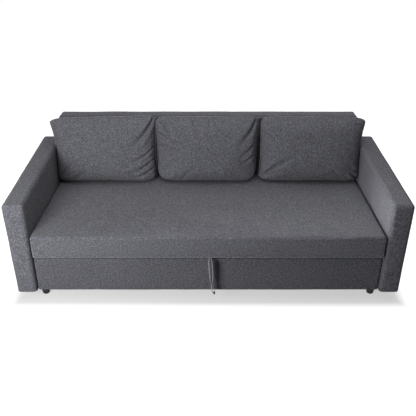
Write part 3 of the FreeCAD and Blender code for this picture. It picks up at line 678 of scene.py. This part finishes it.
def cushion(name, look, folds, seed):
    """A loose-filled back cushion: two panels sewn at a knife edge, leaning on the back."""
    grids = []
    for side in (1, -1):
        u, v, x, h, depth = np.moveaxis(cushion_panel(side, look), -1, 0)
        grid = np.stack([x, -depth, h, u, v, side * np.ones_like(u)], axis=-1)
        grids.append(grid[:, ::-1] if side < 0 else grid)
    border = np.concatenate([grids[0][0], grids[0][1:, -1], grids[0][-1, ::-1][1:], grids[0][::-1, 0][1:]])
    welded, faces = weld(grids)
    obj = make_object(name + "_soft", welded[:, :3], faces, cloth)
    seam = np.nonzero(np.maximum(np.abs(welded[:, 3]), np.abs(welded[:, 4])) > 0.9999)[0]
    set_points(obj, swollen(obj, seam))
    place = obj.data.attributes.new("place", "FLOAT_VECTOR", "POINT")
    place.data.foreach_set("vector", welded[:, 3:].reshape(-1))
    subdivided(obj)
    place = np.zeros(len(obj.data.vertices) * 3)
    obj.data.attributes["place"].data.foreach_get("vector", place)
    u, v, side = place.reshape(-1, 3).T
    half = ((look["x1"] - look["x0"]) / 2, (look["z1"] - look["z0"]) / 2)
    inside = np.clip(12 * (1 - np.abs(u)), 0, 1) * np.clip(12 * (1 - np.abs(v)), 0, 1) * (side > 0)
    heights = sum(crease(u, v, fold, half) for fold in folds) * inside
    heights = np.maximum(heights, -DEEPEST_FOLD * look["front"] * fullness(u, v))
    points = coordinates(obj)
    heights = heights + unevenness(points, 0.13, 0.003, seed) + unevenness(points, 0.04, 0.001, seed + 2)
    along_normals(obj, heights)
    set_points(obj, leaning(coordinates(obj), look))
    seam_line = leaning(border[:, :3], look)
    # Painted highlight: the cushion's welt takes the lightened cloth
    points, faces = weld([tube_along(seam_line, SEAM_RADIUS)])
    welt = make_object(name + "_seam", points, faces, seam_highlight_cloth)
    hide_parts(name)
    for piece in (obj, welt):
        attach(piece, name)


# Cushions: outline and depths in metres, tilt in radians, draw and slump as shares, ears as corner moves
LOOKS = {
    "back_cushion_left": dict(
        x0=-1.014, x1=-0.344, z0=0.432, z1=0.866, front=0.085, rear=0.036, draw=0.014, slump=0.26, tilt=0.02,
        ears={(-1, 1): (-0.036, -0.016), (1, 1): (0.006, 0.014), (1, -1): (0.004, 0.004)}),
    "back_cushion_centre": dict(
        x0=-0.342, x1=0.326, z0=0.432, z1=0.868, front=0.089, rear=0.036, draw=0.016, slump=0.26, tilt=0.02,
        ears={(1, 1): (0.006, 0.004), (-1, -1): (0.014, 0.010), (1, -1): (-0.014, 0.010)}),
    "back_cushion_right": dict(
        x0=0.346, x1=1.014, z0=0.432, z1=0.868, front=0.085, rear=0.036, draw=0.014, slump=0.26, tilt=0.02,
        ears={(-1, -1): (-0.012, 0.006), (1, 1): (0.026, -0.012), (1, -1): (0.004, 0.004)}),
}

# Folds: start and end in shares of half the panel, from its middle. Width and depth in metres
FOLDS = {
    "back_cushion_left": [
        ((0.98, 0.95), (0.52, 0.10), 0.014, 0.019),
        ((0.99, 0.10), (0.42, -0.42), 0.011, 0.010),
        ((0.98, -0.28), (0.40, -0.74), 0.011, 0.012),
        ((0.97, -0.55), (0.48, -0.88), 0.010, 0.010),
        ((-0.97, -0.94), (-0.78, -0.55), 0.012, 0.006),
    ],
    "back_cushion_centre": [
        ((-0.97, 0.94), (-0.55, 0.20), 0.012, 0.012),
        ((-0.90, 0.96), (-0.38, 0.45), 0.011, 0.008),
        ((-0.99, 0.55), (-0.35, 0.00), 0.011, 0.012),
        ((-0.99, 0.22), (-0.45, -0.14), 0.010, 0.010),
        ((0.97, 0.92), (0.62, 0.12), 0.016, 0.018),
        ((0.98, 0.25), (0.66, -0.20), 0.011, 0.008),
        ((0.98, -0.10), (0.62, -0.45), 0.010, 0.007),
        ((-0.30, 0.98), (-0.12, 0.40), 0.013, 0.006),
        ((0.05, 0.98), (0.02, 0.40), 0.013, 0.006),
    ],
    "back_cushion_right": [
        ((-0.98, -0.84), (-0.38, -0.20), 0.013, 0.016),
        ((-0.96, -0.92), (-0.55, -0.52), 0.009, 0.009),
        ((-0.98, 0.55), (-0.60, 0.10), 0.011, 0.007),
        ((0.97, -0.92), (0.76, -0.58), 0.010, 0.014),
        ((0.98, -0.72), (0.80, -0.46), 0.009, 0.010),
        ((0.86, -0.97), (0.64, -0.72), 0.009, 0.008),
    ],
}


# Pull strap

def ribbon(name, line, material, twist, share):
    """Flat webbing along a line: twist turns its width away from Y, share narrows it."""
    line = np.array(line, dtype=float)
    ahead = np.gradient(line, axis=0)
    ahead /= np.linalg.norm(ahead, axis=1, keepdims=True)
    across = np.tile(np.array([[math.sin(twist), math.cos(twist), 0.0]]), (len(line), 1))
    out = np.cross(ahead, across)
    out /= np.linalg.norm(out, axis=1, keepdims=True)
    across = np.cross(out, ahead) * share[:, None]
    half_w, half_t = STRAP_WIDTH / 2, STRAP_THICKNESS / 2
    ring = [(-1, -1), (-0.5, -1.15), (0, -1.2), (0.5, -1.15), (1, -1), (1.06, 0),
            (1, 1), (0.5, 1.15), (0, 1.2), (-0.5, 1.15), (-1, 1), (-1.06, 0), (-1, -1)]
    grid = np.stack([line + half_w * a * across + half_t * b * out for a, b in ring], axis=1)
    start = np.repeat(line[:1, None], len(ring), axis=1)
    end = np.repeat(line[-1:, None], len(ring), axis=1)
    points, faces = weld([np.concatenate([start, grid, end])])
    return make_object(name, points, faces, material)


def smooth_line(points, count):
    """A smooth line through a few points."""
    points = np.array(points, dtype=float)
    lengths = np.concatenate([[0], np.cumsum(np.linalg.norm(np.diff(points, axis=0), axis=1))])
    at = np.linspace(0, lengths[-1], count)
    line = np.stack([np.interp(at, lengths, points[:, k]) for k in range(3)], axis=1)
    for _ in range(count // 8):
        line[1:-1] = (line[:-2] + 2 * line[1:-1] + line[2:]) / 4
    return line


def strap():
    """The pull strap: a loop of tape seen edge-on, its two strands crossing low down."""
    middle = STRAP_Y
    tape = MATERIALS["webbing"]
    loop = smooth_line([
        (0.008, -0.500, 0.2895), (0.004, -0.513, 0.2895), (0.003, middle, 0.281), (0.007, middle, 0.217),
        (0.011, middle, 0.155), (0.022, middle, 0.123), (0.038, middle, 0.085), (0.042, middle, 0.072),
        (0.040, middle, 0.062), (0.035, middle, 0.061), (0.027, middle, 0.070), (0.018, middle, 0.098),
        (0.019, middle, 0.131), (0.025, middle, 0.168), (0.026, middle, 0.217), (0.022, middle, 0.281),
        (0.020, -0.513, 0.2895), (0.016, -0.500, 0.2895),
    ], 120)
    along = np.linspace(0, 1, len(loop))
    share = 0.3 + 0.7 * np.clip((np.minimum(along, 1 - along) - 0.03) / 0.05, 0, 1)
    obj = ribbon("pull_strap_tape", loop, tape, STRAP_TURN, share)
    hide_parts("pull_strap")
    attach(obj, "pull_strap")


# Surroundings

def floor_and_world():
    """A pale floor that keeps the sofa's shadow and fades to white, and a white surround."""
    material, nodes, links = new_material("pale_floor")
    shader = nodes["Principled BSDF"]
    shader.inputs["Roughness"].default_value = 0.9
    shader.inputs["Specular IOR Level"].default_value = 0.1
    path = put(nodes, "ShaderNodeLightPath")
    seen = put(nodes, "ShaderNodeMath", operation="MAXIMUM")
    links.new(path.outputs["Is Camera Ray"], seen.inputs[0])
    links.new(path.outputs["Is Glossy Ray"], seen.inputs[1])
    tone = put(nodes, "ShaderNodeMapRange", To_Min=0.30, To_Max=0.34)
    links.new(seen.outputs[0], tone.inputs["Value"])
    links.new(tone.outputs[0], shader.inputs["Base Color"])
    place = put(nodes, "ShaderNodeTexCoord")
    parts = put(nodes, "ShaderNodeSeparateXYZ")
    links.new(place.outputs["Object"], parts.inputs[0])
    beyond = []
    for axis, half in zip("XY", cad_box[1]):
        size = put(nodes, "ShaderNodeMath", operation="ABSOLUTE")
        links.new(parts.outputs[axis], size.inputs[0])
        less = put(nodes, "ShaderNodeMath", operation="SUBTRACT")
        less.inputs[1].default_value = half
        links.new(size.outputs[0], less.inputs[0])
        beyond.append(less)
    away = put(nodes, "ShaderNodeMath", operation="MAXIMUM")
    links.new(beyond[0].outputs[0], away.inputs[0])
    links.new(beyond[1].outputs[0], away.inputs[1])
    fade = put(nodes, "ShaderNodeMapRange", From_Min=-0.01, From_Max=0.06, To_Min=0.50, To_Max=1.00)
    links.new(away.outputs[0], fade.inputs["Value"])
    glow = put(nodes, "ShaderNodeMath", operation="MULTIPLY")
    links.new(seen.outputs[0], glow.inputs[0])
    links.new(fade.outputs[0], glow.inputs[1])
    shader.inputs["Emission Color"].default_value = (1, 1, 1, 1)
    links.new(glow.outputs[0], shader.inputs["Emission Strength"])
    side = FLOOR_HALF
    floor = make_object("floor", [(-side, -side, 0), (side, -side, 0), (side, side, 0), (-side, side, 0)],
                        [(0, 1, 2, 3)], material, False)
    world = bpy.data.worlds.new("surround")
    bpy.context.scene.world = world
    world.use_nodes = True
    nodes, links = world.node_tree.nodes, world.node_tree.links
    soft = nodes["Background"]
    soft.inputs["Color"].default_value = (0.95, 0.97, 1.0, 1)
    soft.inputs["Strength"].default_value = 0.07
    white = put(nodes, "ShaderNodeBackground", Strength=1.0)
    white.inputs["Color"].default_value = (1, 1, 1, 1)
    path = put(nodes, "ShaderNodeLightPath")
    choose = put(nodes, "ShaderNodeMixShader")
    links.new(path.outputs["Is Camera Ray"], choose.inputs[0])
    links.new(soft.outputs[0], choose.inputs[1])
    links.new(white.outputs[0], choose.inputs[2])
    links.new(choose.outputs[0], nodes["World Output"].inputs["Surface"])


def lamp(name, place, aim, size, power, spread=180.0):
    """A flat lamp that faces a point. Power in watts, spread in degrees."""
    light = bpy.data.lights.new(name, "AREA")
    light.spread = math.radians(spread)
    light.shape = "RECTANGLE"
    light.size, light.size_y = size
    light.energy = power
    obj = bpy.data.objects.new(name, light)
    obj.location = place
    obj.rotation_euler = (Vector(aim) - Vector(place)).to_track_quat("-Z", "Y").to_euler()
    bpy.context.scene.collection.objects.link(obj)


def lights():
    """Low light from the front left, a narrow beam on the right arm, and soft light from above and behind."""
    lamp("key", (-1.5, -2.1, 1.05), (-0.2, 0.0, 0.35), (0.9, 0.9), 52.0)
    lamp("side", (-5.0, -0.65, 1.9), (1.0, -0.45, 0.5), (0.4, 0.3), 1.3, 10.0)
    lamp("overhead", (0.0, 0.1, 2.7), (0.0, 0.1, 0.3), (4.5, 3.0), 48.0)
    lamp("rear", (0.6, 3.2, 1.5), (0.0, 0.4, 0.4), (2.5, 1.2), 30.0)


def camera():
    """The camera that took the photograph, as fitted to the sofa's outline."""
    data = bpy.data.cameras.new("camera")
    data.lens = LENS
    data.sensor_width = SENSOR
    data.clip_end = 60.0
    obj = bpy.data.objects.new("camera", data)
    obj.location = CAMERA_AT
    obj.rotation_euler = (math.pi / 2 - CAMERA_DOWN, 0, 0)
    bpy.context.scene.collection.objects.link(obj)
    bpy.context.scene.camera = obj


camera()
lights()
floor_and_world()
bpy.context.scene.view_settings.view_transform = "Standard"
dress_frame()
arm("left")
arm("right")
back()
front_panel()
seat()
bed()
for number, (node, shape) in enumerate(LOOKS.items()):
    cushion(node, shape, FOLDS[node], 20 + number)
strap()
